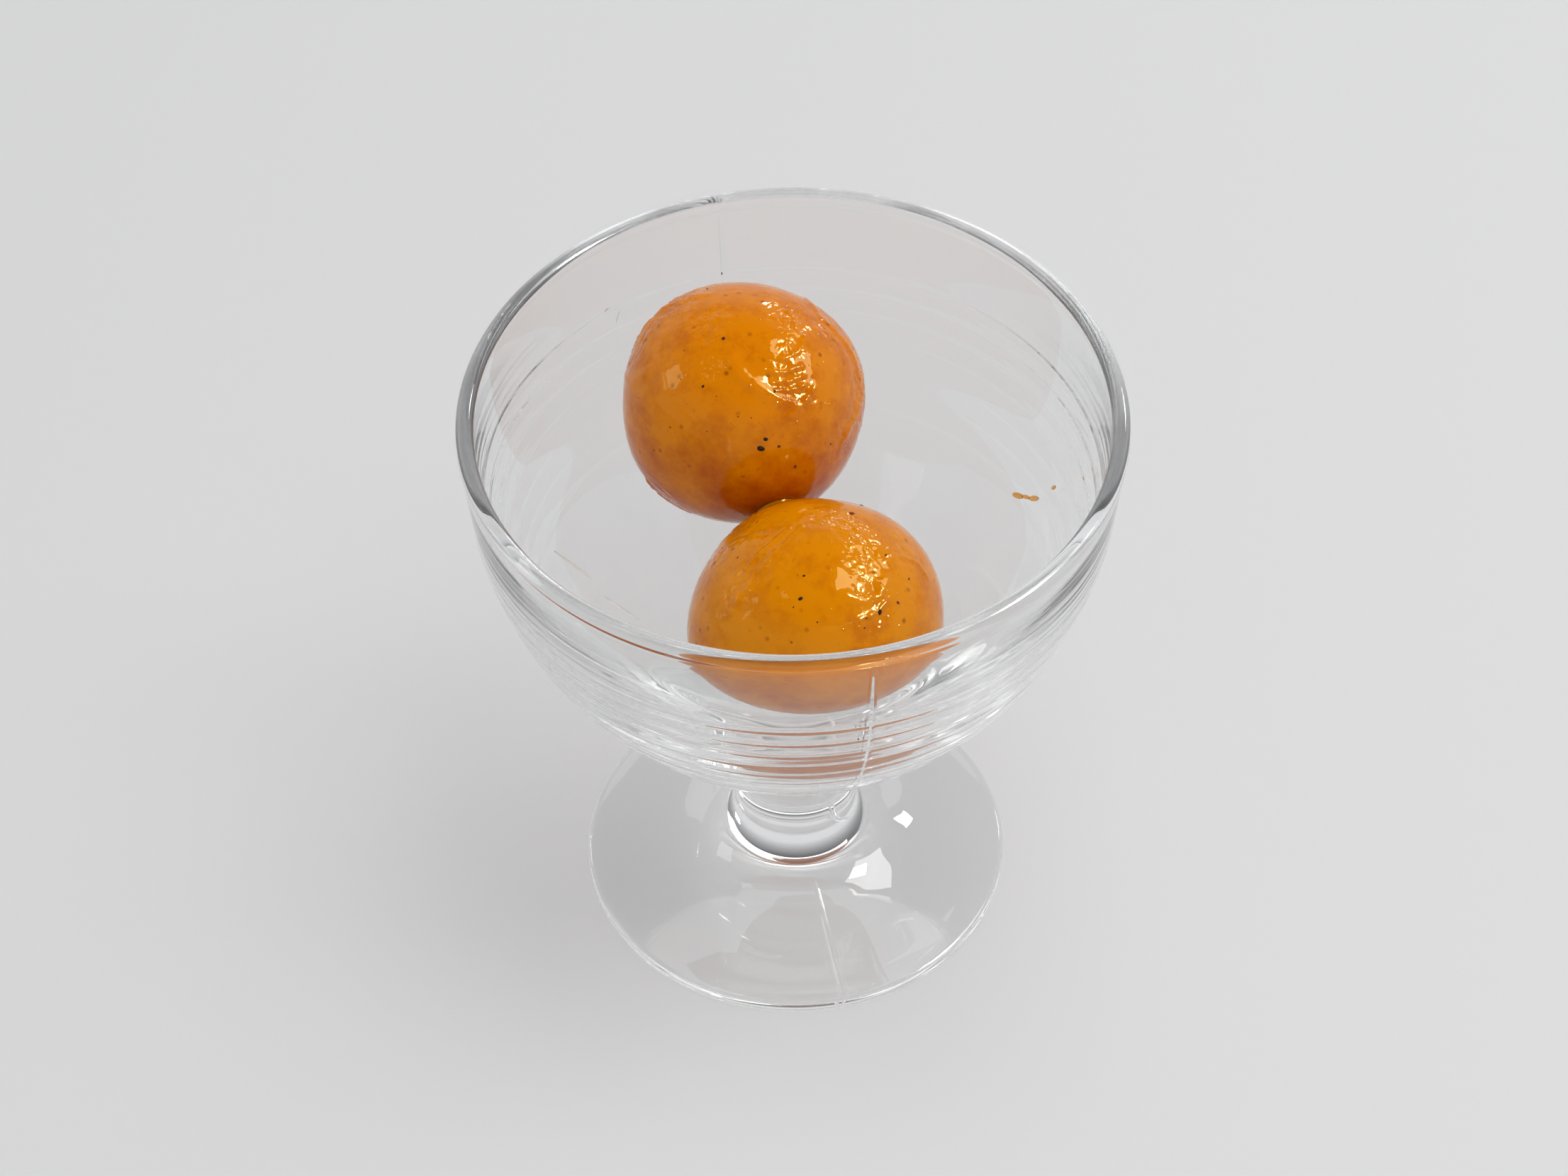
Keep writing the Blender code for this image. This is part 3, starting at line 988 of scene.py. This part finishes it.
# %% Places of the specks: azimuth, elevation, length in mm, finish
FRONT_SPECKS = (
    (-101, 58.7, 0.75, "black"),
    (-102.2, 69, 0.45, "black"),
    (-105.3, 54.6, 0.3, "black"),
    (-88.1, 48.9, 0.3, "black"),
    (48.4, 63.1, 0.9, "russet"),
    (-4.8, 56.3, 0.6, "russet"),
    (-11.7, 42.2, 0.5, "russet"),
    (-45.4, 44.5, 0.9, "black"),
    (-56, 45.4, 0.4, "russet"),
    (-30.7, 41.5, 0.6, "russet"),
    (-59.3, 41.8, 0.35, "black"),
    (-102.8, 39.6, 0.35, "russet"),
    (-177.4, 54.1, 0.4, "russet"),
    (60, 40, 0.6, "black"),
    (120, 20, 0.5, "russet"),
    (170, -5, 0.6, "black"),
)
BACK_SPECKS = (
    (-81, 22.4, 1.25, "black"),
    (-78, 26.6, 0.75, "black"),
    (-123, 74, 0.6, "black"),
    (-119, 49.1, 0.5, "black"),
    (-66.5, 47.6, 0.6, "russet"),
    (-71.6, 21.7, 0.6, "russet"),
    (-64.6, 8.2, 0.6, "russet"),
    (-43, 10.1, 0.5, "russet"),
    (-136.8, 47.1, 0.25, "black"),
    (-107.7, 46.5, 0.25, "russet"),
    (-130.2, 24.4, 0.3, "russet"),
    (-109.3, 29.3, 0.3, "russet"),
    (-136.8, 7.7, 0.35, "black"),
    (-151.9, 58, 0.25, "russet"),
    (-92.5, 38.2, 0.3, "russet"),
    (-84.7, 37.4, 0.25, "russet"),
    (80, 30, 0.7, "black"),
    (120, 55, 0.5, "russet"),
    (160, 10, 0.6, "black"),
)
FINE_SPECKS = 60
draw = random.Random(41)


# %% One grain, and its copies on the skin
def model_grain():
    """A coarse ball one unit long, squashed, cut flat on one side and roughened."""
    rest_hands()
    bpy.ops.mesh.primitive_ico_sphere_add(subdivisions=3, radius=0.5)
    grain = new_piece("grain")
    open_piece(grain)
    bpy.ops.mesh.select_all(action="SELECT")
    bpy.ops.transform.resize(value=(1.0, 0.72, 0.5))
    bpy.ops.transform.vertex_random(offset=0.05, seed=3)
    pick(grain, lambda place: place.x > 0.28)
    bpy.ops.transform.resize(value=(0.35, 0.8, 0.9), center_override=(0.3, 0, 0))
    rest_hands()
    return grain


def on_skin(ball, centre, azimuth, elevation):
    """The point of the skin in a direction, and the direction."""
    way = toward(azimuth, elevation)
    hit, place, normal, _ = ball.ray_cast(centre, way)
    return place if hit else centre + way * 20 * MM, normal if hit else way


def lay_copy(model, name, place, normal, size, turn, sink):
    """One copy of a model, laid on the skin and turned."""
    copy = model.copy()
    copy.data = model.data.copy()
    copy.name = name
    scene.collection.objects.link(copy)
    spin = Matrix.Rotation(turn, 4, "Z")
    lay = normal.to_track_quat("Z", "X").to_matrix().to_4x4()
    copy.matrix_world = Matrix.Translation(place - normal * sink) @ lay @ spin @ Matrix.Diagonal((*size, 1))
    return copy


def gather(copies, name):
    """Join the copies into one piece with its place in its mesh."""
    rest_hands()
    for copy in copies:
        copy.select_set(True)
    bpy.context.view_layer.objects.active = copies[0]
    bpy.ops.object.join()
    piece = new_piece(name)
    settle(piece)
    return piece


grain = model_grain()
for name, ball, centre, specks in (
    ("front_specks", front_jamun, FRONT_CENTRE, FRONT_SPECKS),
    ("back_specks", back_jamun, BACK_CENTRE, BACK_SPECKS),
):
    bpy.context.view_layer.update()
    fine = [
        (draw.uniform(-180, 180), draw.uniform(-35, 80), draw.uniform(0.1, 0.2), draw.choice(("russet", "russet", "black")))
        for _ in range(FINE_SPECKS)
    ]
    copies = []
    for azimuth, elevation, length, kind in (*specks, *fine):
        place, normal = on_skin(ball, centre, azimuth, elevation)
        size = Vector((length, length * draw.uniform(0.75, 1.0), length * 0.9)) * 1.2 * MM
        copy = lay_copy(grain, name, place, normal, size, draw.uniform(0, 2 * math.pi), 0.04 * length * MM)
        copy.data.materials.append(black_seed if kind == "black" else russet_crumb)
        copies.append(copy)
    piece = gather(copies, name)
    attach(piece, "root")
    print(name, "has", len(copies), "grains and", len(piece.data.polygons), "faces")
bpy.data.objects.remove(grain)

# %% [markdown]
# ## Syrup
#
# The syrup is clear and pale amber. It lies as a film on the skin, which the coat
# already shows, stands as fine beads where the film broke, forms a collar in the
# narrow gap between the two jamun, and has left smears and drops on the glass. The
# beads are low domes, the collar is a ring with a hollow outer side, as a liquid
# between two round things has, and each smear is a thin lens that follows the wall.

# %% Syrup finish
SYRUP_RIPPLE = ((1, 1, 1), 400, 1500, 0.3, 0.00002)
amber_syrup = make_clear_finish("amber_syrup", (0.86, 0.42, 0.10), 1.46, 0.9, SYRUP_RIPPLE)
pale_syrup = make_clear_finish("pale_syrup", (0.97, 0.93, 0.87), 1.46, 0.95, SYRUP_RIPPLE)


# %% Beads of syrup on the skin
def model_bead():
    """A low dome, rounded at its foot."""
    rest_hands()
    bpy.ops.mesh.primitive_ico_sphere_add(subdivisions=3, radius=0.5)
    bead = new_piece("bead")
    open_piece(bead)
    pick(bead, lambda place: place.z < -0.05)
    bpy.ops.transform.resize(value=(1, 1, 0.25), center_override=(0, 0, -0.05))
    pick(bead, lambda place: place.z > 0.05)
    bpy.ops.transform.resize(value=(1, 1, 0.6), center_override=(0, 0, 0.05))
    rest_hands()
    bead.data.polygons.foreach_set("use_smooth", [True] * len(bead.data.polygons))
    return bead


BEADS_PER_JAMUN = 110
bead = model_bead()
for name, ball, centre, loose, finish in (
    ("front_syrup_beads", front_jamun, FRONT_CENTRE, FRONT_LOOSE, front_dough),
    ("back_syrup_beads", back_jamun, BACK_CENTRE, BACK_LOOSE, back_dough),
):
    bpy.context.view_layer.update()
    copies = []
    for _ in range(BEADS_PER_JAMUN):
        azimuth, elevation, spread, _amount = draw.choice(loose)
        azimuth += draw.gauss(0, spread * 1.5)
        elevation = max(min(elevation + draw.gauss(0, spread * 0.9), 88), -35)
        place, normal = on_skin(ball, centre, azimuth, elevation)
        width = draw.uniform(0.14, 0.38) * MM
        size = Vector((width, width * draw.uniform(0.7, 1), width * 0.7))
        copies.append(lay_copy(bead, name, place, normal, size, draw.uniform(0, 2 * math.pi), 0.02 * width))
    piece = gather(copies, name)
    piece.data.materials.append(finish)
    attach(piece, "root")
    print(name, "has", len(piece.data.polygons), "faces")

# %% The collar of syrup between the two jamun
COLLAR_RADIUS = 3.3 * MM
COLLAR_HALF_HEIGHT = 0.42 * MM
between = (BACK_CENTRE - FRONT_CENTRE).normalized()
touch = FRONT_CENTRE + between * (FRONT_RADIUS - BALL_GAP / 2)
rest_hands()
bpy.ops.mesh.primitive_torus_add(
    major_segments=96, minor_segments=16, major_radius=COLLAR_RADIUS, minor_radius=COLLAR_HALF_HEIGHT
)
collar = new_piece("syrup_collar")
open_piece(collar)
outside = COLLAR_RADIUS + 0.1 * MM
pick(collar, lambda place: math.hypot(place.x, place.y) > outside and abs(place.z) < 0.3 * MM)
bpy.ops.transform.resize(value=(0.86, 0.86, 1), center_override=(0, 0, 0))
pick(collar, lambda place: math.hypot(place.x, place.y) < COLLAR_RADIUS - 0.2 * MM)
bpy.ops.transform.resize(value=(0.8, 0.8, 0.4), center_override=(0, 0, 0))
rest_hands()
collar.matrix_world = Matrix.Translation(touch) @ between.to_track_quat("Z", "X").to_matrix().to_4x4()
settle(collar)
collar.data.polygons.foreach_set("use_smooth", [True] * len(collar.data.polygons))
collar.data.materials.append(front_dough)
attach(collar, "root")


# %% Smears and drops on the glass
def wall_point(azimuth, height):
    """A point of the bowl's inside and the normal there, into the bowl."""
    turn = math.radians(azimuth)
    flat = Vector((math.cos(turn), math.sin(turn), 0))
    rows = [point for point in section if point[1] > height and point[0] > 5 * MM][0:1]
    index = section.index(rows[0])
    (r0, z0), (r1, z1) = section[index - 1], section[index]
    share = (height - z0) / (z1 - z0)
    radius = r0 + (r1 - r0) * share
    slope = Vector((flat.x * (r1 - r0), flat.y * (r1 - r0), z1 - z0)).normalized()
    normal = slope.cross(Vector((-flat.y, flat.x, 0))).normalized()
    if normal.dot(flat) > 0:
        normal.negate()
    return flat * radius + Vector((0, 0, height)), normal


# azimuth and height in mm at both ends, width and thickness in mm, finish
WALL_SYRUP = (
    ((27.6, 71.3), (24.2, 72.6), 1.00, 0.16, "amber"),
    ((24.8, 72.5), (22.2, 73.6), 0.70, 0.14, "amber"),
    ((22.6, 73.3), (19.6, 75.2), 0.95, 0.15, "amber"),
    ((17.0, 79.2), (15.7, 80.6), 0.70, 0.30, "amber"),
    ((128.9, 96.4), (127.7, 96.8), 0.60, 0.20, "pale"),
    ((127.0, 93.2), (125.6, 95.4), 0.30, 0.10, "pale"),
    ((168, 70), (166, 63), 0.7, 0.10, "pale"),
    ((169, 61), (171, 57), 0.5, 0.10, "pale"),
    ((-12, 60), (-5, 64), 0.6, 0.10, "pale"),
    ((0, 62), (4, 69), 0.4, 0.10, "pale"),
    ((-35, 69), (-26, 71), 0.5, 0.10, "pale"),
    ((-151, 83.6), (-149, 84.5), 0.7, 0.18, "pale"),
    ((-147, 79.4), (-145.6, 80.4), 0.6, 0.18, "pale"),
)
smears = []
for start, end, width, thickness, kind in WALL_SYRUP:
    (first, normal), (last, _) = (wall_point(azimuth, height * MM) for azimuth, height in (start, end))
    along = last - first
    across = normal.cross(along).normalized()
    lay = Matrix((along.normalized(), across, along.normalized().cross(across))).transposed().to_4x4()
    size = Vector((along.length, width * MM, thickness * 2 * MM))
    copy = lay_copy(bead, "wall_syrup", Vector(), Vector((0, 0, 1)), size, 0, 0)
    copy.matrix_world = Matrix.Translation((first + last) / 2) @ lay @ Matrix.Diagonal((*size, 1))
    copy.data.materials.append(amber_syrup if kind == "amber" else pale_syrup)
    smears.append(copy)
wall_syrup = gather(smears, "wall_syrup")
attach(wall_syrup, "root")
bpy.data.objects.remove(bead)
print("wall syrup has", len(wall_syrup.data.polygons), "faces")
